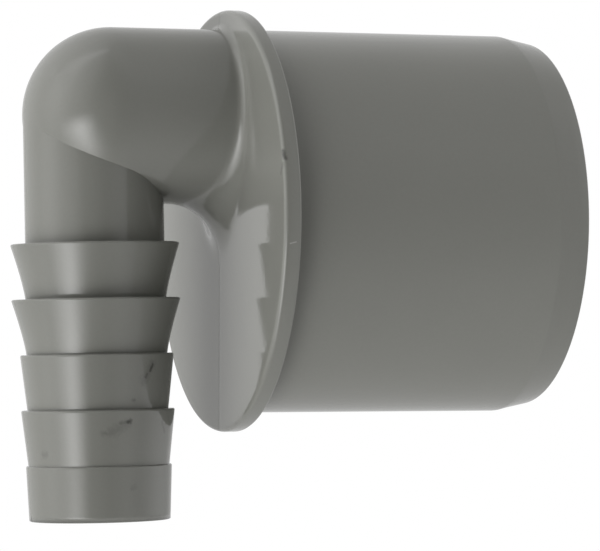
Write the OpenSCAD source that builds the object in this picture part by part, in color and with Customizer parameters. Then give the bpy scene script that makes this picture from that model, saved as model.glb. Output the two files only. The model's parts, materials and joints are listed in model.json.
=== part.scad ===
/* [Spigot] */
// Outside diameter of the spigot that pushes into the waste pipe's socket
spigot_d = 50; // [46:1:54]
// Length of the spigot from the flange's shoulder to its open end
spigot_len = 40.1; // [34:0.1:50]
// Thickness of the spigot's wall
spigot_wall = 2.6; // [2:0.1:3.2]
// Length of the tapered lead at the open end
lead_len = 4.5; // [2:0.5:8]
// How much the lead takes off the radius
lead_drop = 0.87; // [0.3:0.01:1.5]
// Draft of the spigot's inside, in degrees
bore_draft = 0.4; // [0:0.1:0.8]
// Radius in the corner between the spigot's inside and its end wall
inner_round = 1.5; // [0.5:0.25:2.5]

/* [Flange] */
// Diameter of the flange
flange_d = 55; // [54:0.5:62]
// Thickness of the flange at its middle
flange_t = 2.15; // [1.5:0.05:3]
// Rounding of the flange's front edge
front_round = 0.6; // [0.2:0.05:1]
// Rounding of the flange's rear edge and the spigot's end
edge_round = 0.3; // [0.1:0.05:0.4]
// Draft of the flange's front face away from the parting plane, in degrees
face_draft = 0.2; // [0:0.1:0.5]
// Thickness of the end wall, from the flange's front face to the spigot's inside
end_wall = 3; // [2.5:0.1:5]

/* [Arm] */
// Outside diameter of the arm, whose top is flush with the spigot's top
arm_d = 22.8; // [20:0.1:25]
// Diameter of the water way through the arm
arm_bore_d = 17; // [14:0.1:18]
// Radius of the blend between the arm and the flange, at the arm's top and sides
blend_r = 0.95; // [0.6:0.05:1.2]
// How much the blend's radius swells under the arm's lower half
swell_gain = 2.6; // [0:0.1:4]
// How far round the arm the swell reaches on each side, in degrees
swell_reach = 85; // [60:1:120]
// How much more it grows into the skirt straight below the arm
skirt_gain = 3.5; // [0:0.1:5]
// How far round the arm the skirt reaches on each side, in degrees
skirt_reach = 40; // [30:1:60]

/* [Hose tail] */
// Distance from the flange's shoulder to the hose tail's axis
tail_reach = 19.27; // [17:0.01:26]
// Outside diameter of the plain pipe between the arm and the first barb
riser_d = 18; // [17:0.1:20]
// Diameter of the water way through the hose tail
tail_bore_d = 14; // [11:0.1:15]
// Lean of the tail's open end towards the flange, in degrees
tail_lean = 1; // [0:0.1:2]
// Drop from the spigot's axis to the first barb's ledge
first_ledge = 3; // [2:0.1:6]
// Height of one barb
barb_h = 7.15; // [5:0.05:9]
// Tip diameter of the upper, large barbs
large_tip_d = 21.8; // [20:0.1:24]
// Tip diameter of the middle barbs
middle_tip_d = 19.8; // [19:0.1:22]
// Tip diameter of the last barb, at the tail's open end
end_tip_d = 18.8; // [18.4:0.1:20]
// How many large barbs there are, and how many middle ones
barbs_alike = 2; // [1:1:3]
// Diameter of each barb's foot
barb_foot_d = 18.1; // [18:0.05:18.3]
// Flare of the barbs' flanks, where 1 is a straight cone
barb_flare = 1.3; // [1:0.05:2]
// Rounding of the barbs' tips
tip_round = 0.2; // [0.1:0.05:0.3]

/* [Hidden] */
$fn = 96;

spigot_r = spigot_d/2;
spigot_inner_r = spigot_r - spigot_wall;
lead_x = spigot_len - lead_len;
lead_end_r = spigot_r - lead_drop;
lead_angle = atan(lead_drop/lead_len);
flange_r = flange_d/2;
wall_x = end_wall - flange_t;
draft_gain = (spigot_len - wall_x)*tan(bore_draft);

arm_r = arm_d/2;
arm_z = spigot_r - arm_r;
riser_r = riser_d/2;
// the corner's ball and the riser share one outline on the far left
corner_x = -tail_reach - riser_r + arm_r;
tail_bore_r = tail_bore_d/2;
arm_bore_r = arm_bore_d/2;
// inside too, the corner's ball and the tail's water way share one outline on the far left
bore_corner_x = -tail_reach - tail_bore_r + arm_bore_r;

barb_count = 2*barbs_alike + 1;
tail_drop = arm_z + first_ledge + barb_count*barb_h;

// a cut runs past the solid that it opens by this much
past = 2;
// one surface sinks into the next by this much where they are joined
sink = 0.6;
// how quickly the blend's swell and its skirt narrow towards their sides
swell_power = 1.5;
skirt_power = 1.2;
// the ends of the blend's arc dip below the surfaces that they run out on by this much
dip = 0.1;
// the riser starts a little below the corner ball's equator
riser_start = 0.3;

arc_steps = 4;
flank_steps = 8;
blend_steps = 8;
ring_steps = 60;

// Points of an arc round a centre, from one angle to another
function arc(centre, r, from, to, steps = arc_steps) =
    [for (i = [0:steps]) let (a = from + (to - from)*i/steps)
        centre + r*[cos(a), sin(a)]];

// Tip radius of barb i, counted from the arm down
function tip_r(i) =
    (i < barbs_alike ? large_tip_d : i < 2*barbs_alike ? middle_tip_d : end_tip_d)/2;

// Outline of barb i as radius and height: a flat ledge, a rounded tip and a flared flank
function barb_outline(i) =
    let (top = -first_ledge - i*barb_h, tip = tip_r(i), foot = barb_foot_d/2)
    concat(
        arc([tip - tip_round, top - tip_round], tip_round, 90, 0),
        [for (s = [1:flank_steps]) let (u = s/flank_steps)
            [foot + (tip - foot)*pow(1 - u, barb_flare),
             top - tip_round - u*(barb_h - tip_round)]]);

// A bump that is 1 straight below the arm and 0 past its reach
function bump(a, reach, power) =
    let (t = min(1, abs(a)/reach)) pow(1 - t*t, power);

// Radius of the blend at an angle round the arm, measured from straight below
function blend_at(a) = blend_r + swell_gain*bump(a, swell_reach, swell_power)
    + skirt_gain*bump(a, skirt_reach, skirt_power);

// Section of the blend at one angle, as distance from the arm's axis and place along it:
// a quarter arc whose ends dip into the arm and into the face, closed inside the wall
function blend_section(f) = concat(
    [[arm_r - dip, -flange_t - f]],
    [for (i = [1:blend_steps - 1]) let (t = 90*i/blend_steps)
        [arm_r + f - f*cos(t), -flange_t - f + f*sin(t)]],
    [[arm_r + f, dip - flange_t], [arm_r + f, sink - flange_t],
     [arm_r - sink, sink - flange_t], [arm_r - sink, -flange_t - f]]);

// Puts a shape that stands on the Z axis along the spigot's axis
module along_x() {
    rotate([0, 90, 0]) children();
}

// Puts the hose tail's own axis where it belongs, with its lean
module on_tail_axis() {
    translate([-tail_reach, 0, arm_z]) rotate([0, -tail_lean, 0])
        translate([0, 0, -arm_z]) children();
}

module spigot_and_flange() {
    along_x() rotate_extrude() polygon(concat(
        [[0, -flange_t]],
        arc([flange_r - front_round, front_round - flange_t], front_round, -90, 0),
        arc([flange_r - edge_round, -edge_round], edge_round, 0, 90),
        [[spigot_r, 0], [spigot_r, lead_x]],
        arc([lead_end_r - edge_round, spigot_len - edge_round], edge_round, lead_angle, 90),
        [[0, spigot_len]]));
}

// The front face falls away on both sides of the parting plane, which leaves a fine crease
module face_drafts() {
    for (side = [0, 1]) mirror([0, side, 0])
        translate([-flange_t, 0, 0]) rotate([0, 0, -face_draft])
            translate([-past, 0, -flange_r]) cube([past, flange_r + past, flange_d]);
}

module arm() {
    translate([corner_x, 0, arm_z]) {
        along_x() cylinder(r = arm_r, h = -corner_x - flange_t + sink);
        sphere(r = arm_r);
    }
}

// One closed skin round the arm, wide below it and narrow elsewhere
module arm_blend() {
    n = len(blend_section(1));
    rings = [for (k = [0:ring_steps - 1]) let (a = 360*k/ring_steps - 180)
        [for (q = blend_section(blend_at(a)))
            [q[1], q[0]*sin(a), arm_z - q[0]*cos(a)]]];
    points = [for (ring = rings) for (p = ring) p];
    faces = [for (k = [0:ring_steps - 1]) for (j = [0:n - 1])
        let (k2 = (k + 1)%ring_steps, j2 = (j + 1)%n)
        each [[k*n + j, k*n + j2, k2*n + j2], [k*n + j, k2*n + j2, k2*n + j]]];
    polyhedron(points, faces);
}

module riser_and_barbs() {
    on_tail_axis() {
        translate([0, 0, -first_ledge - sink])
            cylinder(r = riser_r, h = arm_z + first_ledge + sink - riser_start);
        rotate_extrude() polygon(concat(
            [[0, -first_ledge]],
            [for (i = [0:barb_count - 1]) each barb_outline(i)],
            [[0, arm_z - tail_drop]]));
    }
}

module spigot_bore() {
    along_x() rotate_extrude() polygon(concat(
        [[0, wall_x]],
        arc([spigot_inner_r - draft_gain - inner_round, wall_x + inner_round], inner_round, -90, 0),
        [[spigot_inner_r, spigot_len], [spigot_inner_r, spigot_len + past],
         [0, spigot_len + past]]));
}

module arm_bore() {
    translate([bore_corner_x, 0, arm_z]) {
        along_x() cylinder(r = arm_bore_r, h = wall_x - bore_corner_x + past);
        sphere(r = arm_bore_r);
    }
}

module tail_bore() {
    on_tail_axis() translate([0, 0, arm_z - tail_drop - past])
        cylinder(r = tail_bore_r, h = tail_drop + past);
}

// The whole elbow is one moulding
module elbow() {
    color([0.43, 0.43, 0.41]) difference() {
        union() {
            difference() {
                spigot_and_flange();
                face_drafts();
            }
            arm();
            arm_blend();
            riser_and_barbs();
        }
        spigot_bore();
        arm_bore();
        tail_bore();
    }
}

elbow();
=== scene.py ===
import json
import bmesh
import bpy
import numpy as np
from mathutils import Matrix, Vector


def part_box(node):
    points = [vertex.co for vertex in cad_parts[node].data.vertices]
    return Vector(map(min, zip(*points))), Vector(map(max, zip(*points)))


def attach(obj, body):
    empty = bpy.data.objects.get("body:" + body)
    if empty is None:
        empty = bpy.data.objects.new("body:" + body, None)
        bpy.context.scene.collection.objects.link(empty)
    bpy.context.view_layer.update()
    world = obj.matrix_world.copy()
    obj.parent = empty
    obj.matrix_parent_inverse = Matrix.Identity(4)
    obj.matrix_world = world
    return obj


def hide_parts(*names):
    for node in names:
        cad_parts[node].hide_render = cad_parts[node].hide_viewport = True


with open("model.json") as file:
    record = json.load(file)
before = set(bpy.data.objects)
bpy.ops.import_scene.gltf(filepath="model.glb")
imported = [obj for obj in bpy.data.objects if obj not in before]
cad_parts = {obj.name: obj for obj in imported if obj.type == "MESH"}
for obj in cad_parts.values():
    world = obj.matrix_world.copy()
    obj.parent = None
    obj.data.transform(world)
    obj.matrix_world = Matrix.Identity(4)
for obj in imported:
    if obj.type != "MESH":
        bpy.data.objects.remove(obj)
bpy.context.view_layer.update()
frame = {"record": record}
mm = 0.001
degreesPerRadian = np.degrees(1.0)


# Wraps a node socket, so that sums on values are written as plain expressions
class Value:
    def __init__(self, board, socket):
        self.board = board
        self.socket = socket

    def math(self, how, *others, clamp=False):
        settings = {"operation": how, "use_clamp": clamp}
        return self.board.add("ShaderNodeMath", settings, dict(enumerate((self, *others))))[0]

    def __add__(self, other):
        return self.math("ADD", other)

    def __radd__(self, other):
        return self.math("ADD", other)

    def __sub__(self, other):
        return self.math("SUBTRACT", other)

    def __rsub__(self, other):
        return self * -1.0 + other

    def __mul__(self, other):
        return self.math("MULTIPLY", other)

    def __rmul__(self, other):
        return self.math("MULTIPLY", other)

    def __truediv__(self, other):
        return self.math("DIVIDE", other)

    def __pow__(self, other):
        return self.math("POWER", other)

    def __abs__(self):
        return self.math("ABSOLUTE")

    # 0 below start, 1 above end, smooth between; start may be the larger one
    def ramp(self, start, end):
        t = ((self - start) / (end - start)).math("ADD", 0.0, clamp=True)
        return t * t * (3.0 - 2.0 * t)


# One node tree: add takes a node's type, its settings and its sockets' values or links
class Board:
    def __init__(self, tree):
        self.tree = tree
        tree.nodes.clear()

    def add(self, kind, settings=None, sockets=None):
        node = self.tree.nodes.new(kind)
        for name, value in (settings or {}).items():
            setattr(node, name, value)
        for name, value in (sockets or {}).items():
            if isinstance(value, Value):
                self.tree.links.new(value.socket, node.inputs[name])
            else:
                node.inputs[name].default_value = value
        return [Value(self, socket) for socket in node.outputs]

    # a distance and a dot product come out as plain values
    def vector(self, how, *inputs, **named):
        outputs = self.add("ShaderNodeVectorMath", {"operation": how},
                           {**dict(enumerate(inputs)), **named})
        return outputs[how in ("DISTANCE", "DOT_PRODUCT")]

    # a colour that turns from the first to the second with the factor
    def blend(self, factor, first, second):
        return self.add("ShaderNodeMix", {"data_type": "RGBA"}, {0: factor, 6: first, 7: second})[2]

    # values round 0, with so many grains to the unit of the coordinates
    def noise(self, where, grains, detail):
        sockets = {"Vector": where, "Scale": grains, "Detail": detail}
        return self.add("ShaderNodeTexNoise", None, sockets)[0] - 0.5


# The frame gives the outer sizes, the spigot's pin and the hose tail's axis, in mm here
outermost = np.array(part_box("elbow")[1]) / mm
mounts = {mount["name"]: mount for mount in frame["record"]["mounts"]}
spigotPin = mounts["spigot"]["dims"]
downTail = np.array(mounts["hose_tail"]["axis"])
tailEnd = np.array(mounts["hose_tail"]["pos_m"]) / mm

spigot = {
    "radius": spigotPin["r_mm"], "length": outermost[0], "straight": spigotPin["length_mm"],
    "leadDrop": 0.87, "leadRound": 2.0, "wall": 2.6, "boreDraft": 0.4, "cornerRound": 1.5,
    "endWallX": 0.85, "heelRound": 0.15, "endRound": 0.3, "lipRound": 0.2,
}
# the front face is thinnest along its crease and thickest on a ring near the rim
flange = {
    "radius": outermost[1], "frontRound": 0.6, "rearRound": 0.3,
    "crease": 2.1, "rise": 0.0121, "ring": 2.33, "ringRadius": 19.0, "fall": 0.0118,
    "ringSoft": 0.043, "heavierBelow": 0.0035,
}
arm = {"radius": 11.4, "boreRadius": 8.5}
blend = {"radius": 0.95, "swell": 2.6, "swellWidth": 65.0, "skirt": 3.5, "skirtWidth": 26.0}
tail = {
    "radius": 9.0, "boreRadius": 7.0, "firstLedge": 3.0, "barbHeight": 7.15, "foot": 9.1,
    "tips": [10.9, 10.9, 9.9, 9.9, 9.4], "flares": [1.25, 1.25, 1.0, 1.0, 1.0],
    "tipRound": 0.2, "cornerRound": 0.04, "endRound": 0.25, "boreRound": 0.2,
}
partingLine = {"depth": 0.03, "width": 0.1}
blister = {"at": (-25.5, -5.9, 18.2), "height": 0.16, "width": 1.1}
grid = {
    "columns": 256, "partingDensity": 0.72, "guard": 0.4, "near": 0.015, "round": 4, "corner": 3,
    "flank": 9, "riser": 11, "arm": 58, "blend": 14, "face": 20, "shoulder": 2, "spigot": 14,
    "lead": 3, "bore": 12, "boreCorner": 6, "endWall": 5, "innerArm": 30, "innerTail": 15,
    "joined": 0.0001,
}

# Columns run round the tube, closer together where the mould parts, at 0 and at half a turn
turn = np.arange(grid["columns"]) * 2 * np.pi / grid["columns"]
phi = turn - grid["partingDensity"] * np.sin(2 * turn) / 2
sideways = np.array([0.0, 1.0, 0.0])
acrossTail = np.cross(sideways, -downTail)
# the arm's top is flush with the spigot's top, and the corner's ball with the tail's far side
armZ = spigot["radius"] - arm["radius"]
pivot = tailEnd + downTail * (armZ - tailEnd[2]) / downTail[2]
ballX = pivot[0] - tail["radius"] + arm["radius"]
boreBallX = pivot[0] - tail["boreRadius"] + arm["boreRadius"]


# Ring of the hose tail: a circle of the radius r round the leaning axis, at the depth d below
# the arm's axis; r and d may change with the angle
def tailRing(r, d):
    r = r * np.ones_like(phi)
    d = d * np.ones_like(phi)
    return (pivot + (r * np.cos(phi))[:, None] * acrossTail
            + (r * np.sin(phi))[:, None] * sideways + d[:, None] * downTail)


# Point at the distance t from the arm's axis, at the angle phi and the place x
def armRing(t, x):
    t = t * np.ones_like(phi)
    x = x * np.ones_like(phi)
    return np.stack([x, t * np.sin(phi), armZ - t * np.cos(phi)], -1)


# How far a line from the arm's axis, at the angle phi, runs to a circle round the spigot's axis
def reach(radius):
    return armZ * np.cos(phi) + np.sqrt(radius ** 2 - (armZ * np.sin(phi)) ** 2)


# Ring round the spigot's axis, with its points on the lines that leave the arm's axis
def spigotRing(radius, x):
    return armRing(reach(radius), x)


# Points of an arc as (r, x) pairs, from one angle to another
def arc(r, x, radius, fromAngle, toAngle, steps):
    a = np.radians(np.linspace(fromAngle, toAngle, steps + 1))
    return list(zip(r + radius * np.cos(a), x + radius * np.sin(a)))


# Places between two roundings, kept a little off them, so that they don't shade what is flat
def guarded(first, last, count):
    off = np.sign(last - first) * grid["guard"]
    return np.linspace(first + off, last - off, count)


# Shares from 0 to 1 in even steps, both ends left out
def between(steps):
    return np.linspace(0, 1, steps + 1)[1:-1]


# The same with two more shares close to the ends
def guardedShares(steps):
    near = grid["near"]
    return np.concatenate([[near], between(steps), [1 - near]])


# Where each line down the pipe of radius r leaves the skin of the arm of radius R: the sphere
# left of the ball's centre, the cylinder right of it
def seamDepth(r, R, centreX):
    across = tailRing(r, 0.0) - np.array([centreX, 0.0, armZ])
    b = across @ downTail
    c = (across ** 2).sum(1) - R * R
    onBall = -b + np.sqrt(np.maximum(b * b - c, 0.0))
    y = r * np.sin(phi)
    onTube = (np.sqrt(R * R - y * y) + r * np.cos(phi) * acrossTail[2]) / -downTail[2]
    tubeX = tailRing(r, onTube)[:, 0]
    return np.where(tubeX < centreX, onBall, onTube)


# Skin of a tube with a ball end, from the seam to its far end. A point is found by its way s
# over the skin from the ball's pole and its angle round the axis; rows run straight in the
# flat map whose polar coordinates are s and that angle
def skinRows(seam, R, centreX, endX, shares):
    quarter = R * np.pi / 2
    alpha = np.arccos(np.clip((centreX - seam[:, 0]) / R, -1.0, 1.0))
    s = np.where(seam[:, 0] < centreX, R * alpha, quarter + seam[:, 0] - centreX)
    theta = np.arctan2(seam[:, 1], armZ - seam[:, 2])
    start = np.stack([s * np.cos(theta), s * np.sin(theta)])
    far = quarter + endX - centreX
    end = np.stack([far * np.cos(phi), far * np.sin(phi)])
    w = shares[:, None, None]
    flat = start * (1 - w) + end * w
    s = np.hypot(flat[:, 0], flat[:, 1])
    theta = np.arctan2(flat[:, 1], flat[:, 0])
    alpha = np.minimum(s, quarter) / R
    x = centreX - R * np.cos(alpha) + np.maximum(s - quarter, 0.0)
    rho = R * np.sin(alpha)
    return np.stack([x, rho * np.sin(theta), armZ - rho * np.cos(theta)], -1)


# Radius of the arm's blend: a plain fillet that swells under the arm's sides, and again to the
# skirt straight below it; both fall off as bell curves of the angle from there
def blendRadius():
    away = np.degrees(np.arctan2(np.sin(phi), np.cos(phi)))
    swell = np.exp(-(away / blend["swellWidth"]) ** 2)
    skirt = np.exp(-(away / blend["skirtWidth"]) ** 2)
    return blend["radius"] + blend["swell"] * swell + blend["skirt"] * skirt


# Place of the front face under a ring's points. The thickness rises from the crease with |y| and
# falls towards the rim with the distance from the spigot's axis, whichever is less, rounded off
def frontX(ring):
    y, z = ring[:, 1], ring[:, 2]
    rising = flange["crease"] + flange["rise"] * np.abs(y)
    falling = flange["ring"] - flange["fall"] * (np.hypot(y, z) - flange["ringRadius"])
    lesser = (rising + falling - np.hypot(rising - falling, flange["ringSoft"])) / 2
    return flange["heavierBelow"] * z - lesser


# Section of the tail as (radius, depth) pairs: under the riser each barb has a ledge, a rounded
# tip and a flank whose radius falls from tip to foot as a power of the share of its height left
def tailSection():
    section = []
    depth = armZ + tail["firstLedge"]
    above = tail["radius"]
    corner, edge, foot = tail["cornerRound"], tail["tipRound"], tail["foot"]
    for tip, flare in zip(tail["tips"], tail["flares"]):
        section += arc(above + corner, depth - corner, corner, 180, 90, grid["corner"])
        section += [((above + tip - edge) / 2, depth)]
        section += arc(tip - edge, depth + edge, edge, -90, 0, grid["round"])
        u = guardedShares(grid["flank"])
        flank = foot + (tip - foot) * (1 - u) ** flare
        section += list(zip(flank, depth + edge + u * (tail["barbHeight"] - edge)))
        depth += tail["barbHeight"]
        above = foot
    end = tail["endRound"]
    section += arc(foot - end, depth - end, end, 0, 90, grid["round"])
    return section, depth


# Rows from the tail's open end up to the seam, then over the corner and the arm
def tailRows(section, seam):
    rows = [tailRing(r, d) for r, d in reversed(section)]
    ledge = section[0][1]
    return rows + [tailRing(tail["radius"], ledge + (seam - ledge) * w)
                   for w in guardedShares(grid["riser"])]


# Rows of the blend: a quarter arc that leaves the arm and lands on the front face
def blendRows(radius, landing):
    rows = []
    for t in np.linspace(0, np.pi / 2, grid["blend"] + 1)[1:]:
        rows.append(armRing(arm["radius"] + radius * (1 - np.cos(t)),
                            landing - radius * (1 - np.sin(t))))
    return rows


# Rows of the front face, from the blend to the start of the rim's rounding
def faceRows(foot):
    rim = reach(flange["radius"] - flange["frontRound"])
    rows = []
    for w in np.append(between(grid["face"]), 1.0):
        ring = armRing(foot + (rim - foot) * w, 0.0)
        ring[:, 0] = frontX(ring)
        rows.append(ring)
    return rows


# Rows of the rim: rounded in front, straight across, rounded again behind
def rimRows(faceEdge):
    front, rear, radius = flange["frontRound"], flange["rearRound"], flange["radius"]
    rows = [spigotRing(r, faceEdge + x) for r, x in
            arc(radius - front, front, front, -90, 0, 2 * grid["round"])[1:]]
    rows += [spigotRing(r, x) for r, x in arc(radius - rear, -rear, rear, 0, 90, grid["round"])]
    return rows


# Rows of the shoulder, the spigot, its lead, which leans in by leadDrop, and its open end
def spigotRows():
    radius, length, heel = spigot["radius"], spigot["length"], spigot["heelRound"]
    rows = [spigotRing(r, 0.0) for r in
            guarded(flange["radius"] - flange["rearRound"], radius, grid["shoulder"])]
    rows += [spigotRing(r, x) for r, x in arc(radius + heel, heel, heel, -90, -180, grid["corner"])]
    straight = spigot["straight"]
    rows += [spigotRing(radius, x) for x in guarded(0.0, straight, grid["spigot"])]
    tilt = np.degrees(np.arctan2(spigot["leadDrop"], length - straight))
    bend, edge = spigot["leadRound"], spigot["endRound"]
    rows += [spigotRing(r, x) for r, x in
             arc(radius - bend, straight, bend, 0, tilt, grid["corner"])]
    edgeArc = arc(radius - spigot["leadDrop"] - edge, length - edge, edge, tilt, 90, grid["round"])
    leadR = np.linspace(radius, edgeArc[0][0], grid["lead"] + 1)[1:-1]
    leadX = np.linspace(straight, edgeArc[0][1], grid["lead"] + 1)[1:-1]
    rows += [spigotRing(r, x) for r, x in list(zip(leadR, leadX)) + edgeArc]
    return rows


# Rows from the mouth's lip down the drafted bore, round its corner and over the end wall to the
# arm's water way, which cuts into that corner at the top
def boreRows():
    length, lip, corner = spigot["length"], spigot["lipRound"], spigot["cornerRound"]
    mouth = spigot["radius"] - spigot["wall"]
    wallX = spigot["endWallX"]
    slope = np.tan(np.radians(spigot["boreDraft"]))
    rows = [spigotRing(mouth + grid["guard"], length)]
    rows += [spigotRing(r, x) for r, x in
             arc(mouth + lip, length - lip, lip, 90, 180, grid["corner"])]
    rows += [spigotRing(mouth - (length - x) * slope, x) for x in
             guarded(length, wallX + corner, grid["bore"])]
    flat = mouth - (length - wallX) * slope - corner
    wayRadius = arm["boreRadius"]
    cut = armRing(wayRadius, 0.0)
    cutAway = np.hypot(cut[:, 1], cut[:, 2])
    lift = np.arcsin(np.clip((cutAway - flat) / corner, 0.0, 1.0))
    for w in np.linspace(0, 1, grid["boreCorner"] + 1):
        a = np.pi / 2 + (lift - np.pi / 2) * w
        rows.append(spigotRing(flat + corner * np.sin(a), wallX + corner * (1 - np.cos(a))))
    cutX = wallX + corner * (1 - np.cos(lift))
    flatReach = np.where(cutAway > flat, wayRadius, reach(flat))
    rows += [armRing(flatReach + (wayRadius - flatReach) * w, cutX)
             for w in between(grid["endWall"])]
    return rows + [armRing(wayRadius, cutX)], cutX


# Rows of the water way down the tail to its open end
def innerTailRows(seam, endDepth):
    radius, edge = tail["boreRadius"], tail["boreRound"]
    last = endDepth - grid["guard"]
    rows = [tailRing(radius, seam + (last - seam) * w)
            for w in np.append(between(grid["innerTail"]), 1.0)]
    rows += [tailRing(r, d) for r, d in
             arc(radius + edge, endDepth - edge, edge, 180, 90, grid["corner"])]
    return rows + [tailRing((radius + tail["foot"]) / 2, endDepth)]


# All rows of the one closed skin by stretch: outside from the tail to the spigot, back inside
def elbowStretches():
    section, endDepth = tailSection()
    radius = blendRadius()
    foot = arm["radius"] + radius
    landing = frontX(armRing(foot, 0.0))
    faceEdge = frontX(spigotRing(flange["radius"] - flange["frontRound"], 0.0))
    seam = seamDepth(tail["radius"], arm["radius"], ballX)
    innerSeam = seamDepth(tail["boreRadius"], arm["boreRadius"], boreBallX)
    bore, cutX = boreRows()
    return {
        "tail": tailRows(section, seam),
        "arm": skinRows(tailRing(tail["radius"], seam), arm["radius"], ballX, landing - radius,
                        np.linspace(0, 1, grid["arm"] + 1)),
        "blend": blendRows(radius, landing),
        "face": faceRows(foot),
        "rim": rimRows(faceEdge),
        "spigot": spigotRows(),
        "bore": bore,
        "innerArm": skinRows(tailRing(tail["boreRadius"], innerSeam), arm["boreRadius"], boreBallX,
                             cutX, np.linspace(1, 0, grid["innerArm"] + 1)[1:]),
        "innerTail": innerTailRows(innerSeam, endDepth),
    }


# How far the skin stands off its plain form: a fine groove where the halves of the mould meet,
# and a low blister on the corner, both falling off as a bell curve
def relief(points):
    fromPlane = points[:, :, 1:2] / partingLine["width"]
    away = np.linalg.norm(points - np.array(blister["at"]), axis=-1, keepdims=True)
    fromBlister = away / blister["width"]
    return (blister["height"] * np.exp(-fromBlister ** 2)
            - partingLine["depth"] * np.exp(-fromPlane ** 2))


# Outward direction at the points of the first rows: the way round a row crossed with the way to
# the next row
def outward(rows, count):
    alongRow = np.roll(rows, -1, 1) - np.roll(rows, 1, 1)
    alongColumn = np.roll(rows, -1, 0) - np.roll(rows, 1, 0)
    normal = np.cross(alongRow, alongColumn)[:count]
    return normal / np.linalg.norm(normal, axis=-1, keepdims=True)


# Faces between neighbouring rows and columns; the last ones meet the first again
def closedQuads(rowCount, columnCount):
    i, j = np.meshgrid(np.arange(rowCount), np.arange(columnCount), indexing="ij")
    i2 = (i + 1) % rowCount
    j2 = (j + 1) % columnCount
    return np.stack([i * columnCount + j, i * columnCount + j2,
                     i2 * columnCount + j2, i2 * columnCount + j], -1).reshape(-1, 4)


# Sharp edges are the seams along a row, and the front face's crease along two columns
def sharpEdges(mesh, seams, face):
    ends = np.empty(len(mesh.edges) * 2, int)
    mesh.edges.foreach_get("vertices", ends)
    row, column = np.divmod(ends.reshape(-1, 2), grid["columns"])
    onSeam = (row[:, 0] == row[:, 1]) & np.isin(row[:, 0], seams)
    onPlane = (column[:, 0] == column[:, 1]) & np.isin(column[:, 0], [0, grid["columns"] // 2])
    return onSeam | (onPlane & (row.min(1) >= face[0]) & (row.max(1) <= face[1]))


# Rows that meet in one point, where the water way cuts the bore's corner, share it afterwards
def joinPoints(mesh):
    shape = bmesh.new()
    shape.from_mesh(mesh)
    bmesh.ops.remove_doubles(shape, verts=shape.verts, dist=grid["joined"] * mm)
    shape.to_mesh(mesh)
    shape.free()


def makeElbow():
    stretches = elbowStretches()
    starts = dict(zip(stretches, np.cumsum([0] + [len(rows) for rows in stretches.values()])))
    rows = np.concatenate([np.array(stretch) for stretch in stretches.values()])
    outside = starts["bore"]
    rows[:outside] += outward(rows, outside) * relief(rows[:outside])
    mesh = bpy.data.meshes.new("elbowBody")
    quads = closedQuads(*rows.shape[:2])
    mesh.from_pydata(rows.reshape(-1, 3) * mm, [], quads.tolist())
    mesh.polygons.foreach_set("use_smooth", np.ones(len(mesh.polygons), bool))
    seams = [starts["arm"], starts["innerArm"] - 1, starts["innerTail"] - 1]
    mark = mesh.attributes.new("sharp_edge", "BOOLEAN", "EDGE")
    mark.data.foreach_set("value", sharpEdges(mesh, seams, (starts["face"] - 1, starts["rim"])))
    joinPoints(mesh)
    body = bpy.data.objects.new("elbowBody", mesh)
    bpy.context.scene.collection.objects.link(body)
    print("elbow:", rows.shape[0], "rows of", rows.shape[1], "points,", len(mesh.polygons), "faces")
    return body


# Grey plastic with a soft gloss; scales are grains to the mm, tones are shares of the colour
plastic = {
    "color": (0.2, 0.202, 0.183), "roughness": 0.06, "ior": 1.5, "unevenGloss": 0.03,
    "cloudScale": 0.07, "cloudDetail": 3.0, "cloudTone": 0.08,
    "grainScale": 2.6, "grainDetail": 2.0, "grainTone": 0.06,
    "bumpScale": 1.4, "bumpDetail": 2.0, "bumpStrength": 0.08, "bumpHeight": 0.0001,
}
# Marks of use: each runs between two places in mm and fades out at its radius
marks = {
    "ragged": 0.9, "raggedScale": 2.6, "raggedDetail": 3.0, "dullness": 0.25,
    "dirt": (0.02, 0.02, 0.016, 1.0),
    "dirtSpots": [
        {"from": (-13.75, -8.35, -18.7), "to": (-14.1, -8.45, -19.4), "radius": 0.5, "depth": 0.75},
        {"from": (-14.6, -8.63, -19.9), "to": (-14.8, -8.67, -20.3), "radius": 0.5, "depth": 0.55},
        {"from": (-13.9, -8.4, -18.6), "to": (-15.0, -8.69, -20.8), "radius": 1.1, "depth": 0.22},
        {"from": (-16.4, -8.91, -23.2), "to": (-16.6, -8.91, -23.2), "radius": 0.45, "depth": 0.35},
        {"from": (-17.1, -9.59, -25.9), "to": (-17.4, -9.63, -25.95), "radius": 0.55, "depth": 0.8},
        {"from": (-17.6, -9.64, -26.0), "to": (-18.4, -9.68, -26.1), "radius": 0.5, "depth": 0.35},
        {"from": (-17.5, -9.62, -26.2), "to": (-19.6, -9.48, -27.3), "radius": 1.1, "depth": 0.2},
        {"from": (-20.2, -9.35, -27.4), "to": (-20.6, -9.3, -27.4), "radius": 0.6, "depth": 0.25},
        {"from": (-12.2, -7.3, -26.0), "to": (-11.7, -6.6, -27.3), "radius": 0.4, "depth": 0.25},
        {"from": (-26.6, -4.3, -30.0), "to": (-26.9, -3.9, -30.2), "radius": 0.8, "depth": 0.2},
        {"from": (-16.4, -9.04, -34.3), "to": (-16.6, -9.0, -34.4), "radius": 0.7, "depth": 0.16},
        {"from": (-2.1, -26.2, 7.8), "to": (-1.9, -26.5, 6.9), "radius": 0.45, "depth": 0.7},
        {"from": (-2.2, -26.4, 6.2), "to": (-2.3, -25.8, 5.1), "radius": 0.5, "depth": 0.25},
    ],
    "scuff": (0.42, 0.42, 0.4, 1.0),
    "scuffs": [
        {"from": (-1.5, -27.24, -3.72), "to": (-0.75, -27.27, -3.53), "radius": 0.14, "depth": 0.6},
    ],
}


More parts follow.
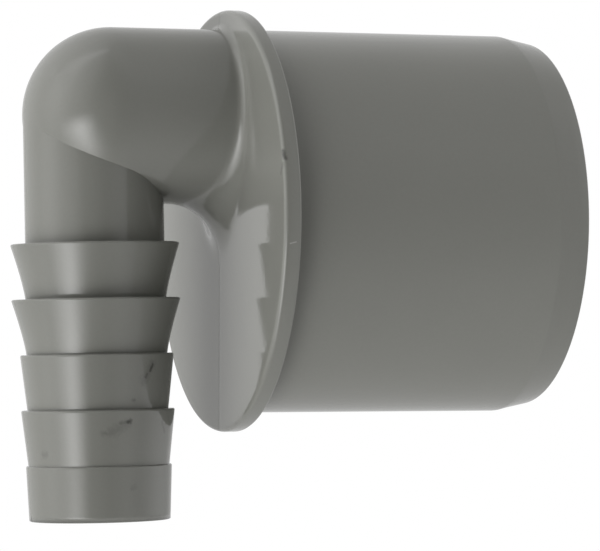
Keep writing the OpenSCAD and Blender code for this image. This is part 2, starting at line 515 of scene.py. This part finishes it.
# 1 on the stretch between a mark's ends, falling smoothly to 0 at its radius; distances in mm
def markMask(board, where, mark, unrest):
    span = np.subtract(mark["to"], mark["from"])
    fromStart = board.vector("SUBTRACT", where, mark["from"])
    share = board.vector("DOT_PRODUCT", fromStart, tuple(span / (span @ span)))
    nearest = board.vector("SCALE", tuple(span), Scale=share.math("ADD", 0.0, clamp=True))
    away = board.vector("DISTANCE", fromStart, nearest) + unrest * mark["radius"]
    return away.ramp(mark["radius"], 0.0) * mark["depth"]


# The strongest of several marks at each place
def markMasks(board, where, spots, unrest):
    masks = [markMask(board, where, spot, unrest) for spot in spots]
    strongest = masks[0]
    for mask in masks[1:]:
        strongest = strongest.math("MAXIMUM", mask)
    return strongest


# Clouds and grain vary the colour and the gloss a little, and the marks lie over them
def makePlastic():
    material = bpy.data.materials.new("elbowPlastic")
    material.use_nodes = True
    board = Board(material.node_tree)
    where = board.vector("SCALE", board.add("ShaderNodeTexCoord")[3], Scale=1 / mm)
    cloud = board.noise(where, plastic["cloudScale"], plastic["cloudDetail"])
    grain = board.noise(where, plastic["grainScale"], plastic["grainDetail"])
    level = 1.0 + cloud * plastic["cloudTone"] + grain * plastic["grainTone"]
    clean = board.vector("SCALE", plastic["color"], Scale=level)
    unrest = board.noise(where, marks["raggedScale"], marks["raggedDetail"]) * marks["ragged"]
    dirty = markMasks(board, where, marks["dirtSpots"], unrest)
    scuffed = markMasks(board, where, marks["scuffs"], unrest)
    color = board.blend(scuffed, board.blend(dirty, clean, marks["dirt"]), marks["scuff"])
    rough = plastic["roughness"] + (cloud + grain) * plastic["unevenGloss"]
    bump = board.add("ShaderNodeBump", None, {
        "Strength": plastic["bumpStrength"], "Distance": plastic["bumpHeight"],
        "Height": board.noise(where, plastic["bumpScale"], plastic["bumpDetail"])})[0]
    shader = board.add("ShaderNodeBsdfPrincipled", None, {
        "Base Color": color, "Roughness": rough + (dirty + scuffed) * marks["dullness"],
        "IOR": plastic["ior"], "Normal": bump})[0]
    board.add("ShaderNodeOutputMaterial", None, {"Surface": shader})
    print("plastic:", len(material.node_tree.nodes), "nodes")
    return material


body = makeElbow()
body.data.materials.append(makePlastic())
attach(body, "root")
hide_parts("elbow")

# The floor is matte near the elbow and plain white further out
studio = {
    "floorZ": -0.085, "floorHalf": 6.0, "tone": (0.8, 0.8, 0.8, 1.0),
    "whiteFrom": 0.22, "whiteTo": 0.4,
}


# One large square below the elbow
def makeFloor():
    half = studio["floorHalf"]
    mesh = bpy.data.meshes.new("studioFloor")
    corners = [(-half, -half), (half, -half), (half, half), (-half, half)]
    mesh.from_pydata([(x, y, studio["floorZ"]) for x, y in corners], [], [(0, 1, 2, 3)])
    floor = bpy.data.objects.new("studioFloor", mesh)
    bpy.context.scene.collection.objects.link(floor)
    material = bpy.data.materials.new("studioWhite")
    material.use_nodes = True
    board = Board(material.node_tree)
    x, y, z = board.add("ShaderNodeSeparateXYZ", None, {0: board.add("ShaderNodeTexCoord")[3]})
    away = (x * x + y * y) ** 0.5
    matte = board.add("ShaderNodeBsdfDiffuse", None, {"Color": studio["tone"]})[0]
    white = board.add("ShaderNodeEmission", None, {"Color": (1, 1, 1, 1), "Strength": 1.0})[0]
    far = away.ramp(studio["whiteFrom"], studio["whiteTo"])
    mixed = board.add("ShaderNodeMixShader", None, {0: far, 1: matte, 2: white})[0]
    board.add("ShaderNodeOutputMaterial", None, {"Surface": mixed})
    mesh.materials.append(material)
    # the light from below passes, as through a light table
    floor.visible_diffuse = False
    floor.visible_glossy = False
    floor.visible_shadow = False
    print("floor:", 2 * half, "m wide")


# The photo's light as brightness by direction, in degrees of azimuth and elevation: a large
# softbox low on the left, paler glows above it and on the far side, and a dark camera side
tent = {
    "base": 0.647,
    "softbox": {
        "azimuth": -48.4, "elevation": -14.7, "slant": 0.155, "level": 5.62,
        "width": 46.0, "top": 8.0, "edge": 10.6, "bottom": 63.6,
    },
    "glows": [
        {"azimuth": -114.0, "elevation": 58.0, "width": 124.1, "height": 104.5, "level": 0.61},
        {"azimuth": -91.4, "elevation": 40.9, "width": 34.0, "height": 128.1, "level": 0.86},
        {"azimuth": 85.0, "elevation": 15.0, "width": 45.0, "height": 45.0, "level": 1.02},
    ],
    "cameraSide": {"azimuth": -14.7, "elevation": 6.9, "width": 49.9, "height": 97.0, "core": 0.26},
}


# The camera itself sees plain white behind the elbow
def makeTent():
    world = bpy.data.worlds.new("studioTent")
    bpy.context.scene.world = world
    world.use_nodes = True
    board = Board(world.node_tree)
    x, y, z = board.add("ShaderNodeSeparateXYZ", None, {0: board.add("ShaderNodeTexCoord")[0]})
    azimuth = x.math("ARCTAN2", y * -1.0) * degreesPerRadian
    elevation = z.math("ARCSINE") * degreesPerRadian

    def offsets(spot):
        return ((azimuth - spot["azimuth"]).math("WRAP", 180.0, -180.0),
                elevation - spot["elevation"])

    def distance(spot):
        across, up = offsets(spot)
        across = across / spot["width"]
        up = up / spot["height"]
        return (across * across + up * up) ** 0.5

    box = tent["softbox"]
    across, up = offsets(box)
    up = up - across * box["slant"]
    inside = (abs(across).ramp(box["width"], 0.0)
              * up.ramp(box["top"] + box["edge"], box["top"] - box["edge"])
              * up.ramp(-box["bottom"], 0.0))
    level = tent["base"] + inside * box["level"]
    for glow in tent["glows"]:
        level = level + distance(glow).ramp(1.0, 0.0) * glow["level"]
    dark = tent["cameraSide"]
    level = level * distance(dark).ramp(dark["core"], 1.0)
    isCameraRay = board.add("ShaderNodeLightPath")[0]
    strength = level + isCameraRay * (1.0 - level)
    back = board.add("ShaderNodeBackground", None, {"Color": (1, 1, 1, 1), "Strength": strength})
    board.add("ShaderNodeOutputWorld", None, {"Surface": back[0]})
    print("tent:", len(tent["glows"]), "glows and a softbox")


# Angles in degrees, distances in metres, the lens in mm
view = {
    "azimuth": -18.747, "elevation": -1.279, "roll": -0.188, "distance": 0.511336,
    "aimRight": 0.008520, "aimUp": -0.007116, "lens": 234.56, "sensor": 36.0,
    "clipStart": 0.01, "clipEnd": 50.0,
}


# The photo's own point of view, from a perspective fit of the elbow's outlines
def makeCamera():
    azimuth, elevation, roll = (np.radians(view[k]) for k in ("azimuth", "elevation", "roll"))
    back = np.array([np.sin(azimuth) * np.cos(elevation), -np.cos(azimuth) * np.cos(elevation),
                     np.sin(elevation)])
    right = np.array([np.cos(azimuth), np.sin(azimuth), 0.0])
    up = np.cross(back, right)
    place = right * view["aimRight"] + up * view["aimUp"] + back * view["distance"]
    rolledRight = np.cos(roll) * right + np.sin(roll) * up
    rolledUp = np.cos(roll) * up - np.sin(roll) * right
    data = bpy.data.cameras.new("photoCamera")
    data.sensor_fit = "HORIZONTAL"
    data.sensor_width = view["sensor"]
    data.lens = view["lens"]
    data.clip_start = view["clipStart"]
    data.clip_end = view["clipEnd"]
    camera = bpy.data.objects.new("photoCamera", data)
    pose = np.eye(4)
    pose[:3] = np.stack([rolledRight, rolledUp, back, place], 1)
    camera.matrix_world = Matrix(pose.tolist())
    bpy.context.scene.collection.objects.link(camera)
    bpy.context.scene.camera = camera
    print("camera:", view["lens"], "mm lens,", view["distance"], "m away")


makeFloor()
makeTent()
makeCamera()
bpy.context.scene.view_settings.view_transform = "Standard"
